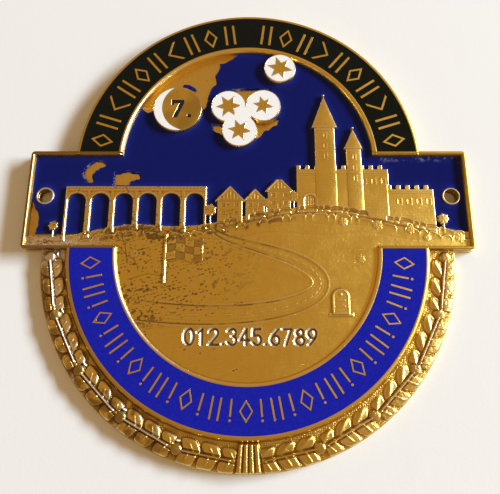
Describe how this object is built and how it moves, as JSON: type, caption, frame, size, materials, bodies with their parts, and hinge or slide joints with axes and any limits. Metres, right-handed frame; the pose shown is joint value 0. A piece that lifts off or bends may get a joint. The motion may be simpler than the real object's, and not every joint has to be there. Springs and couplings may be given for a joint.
{
  "type": "enamelled badge plaque",
  "caption": "Flat die-struck metal plaque with a domed top, side ears with mounting holes, coloured enamel fields, struck scenery and an oak-leaf wreath along its round foot.",
  "frame": {"origin": "middle of the plan on the back face", "axes": "+Z out of the face, +Y to the plaque's top, +X to the viewer's right"},
  "size_m": [0.0916, 0.0969, 0.003],
  "materials": {
    "gilt_brass": "struck and gilt, worn, brown in the hollows",
    "black_enamel": "glossy, flush with the rims",
    "night_blue_enamel": "glossy, sunk under the rims, chipped",
    "bright_blue_enamel": "satin gloss, flush with the rims",
    "white_enamel": "glossy",
    "numeral_black": "matt paint in a punched recess"
  },
  "bodies": {
    "root": {"struck_plate": "gilt_brass", "arch_enamel": "black_enamel", "sky_enamel": "night_blue_enamel", "sky_enamel_flake": "night_blue_enamel", "band_enamel": "bright_blue_enamel", "crescent_enamel": "white_enamel", "star_enamel": "white_enamel", "star_cluster_enamel": "white_enamel", "numeral_paint": "numeral_black"}
  },
  "joints": []
}
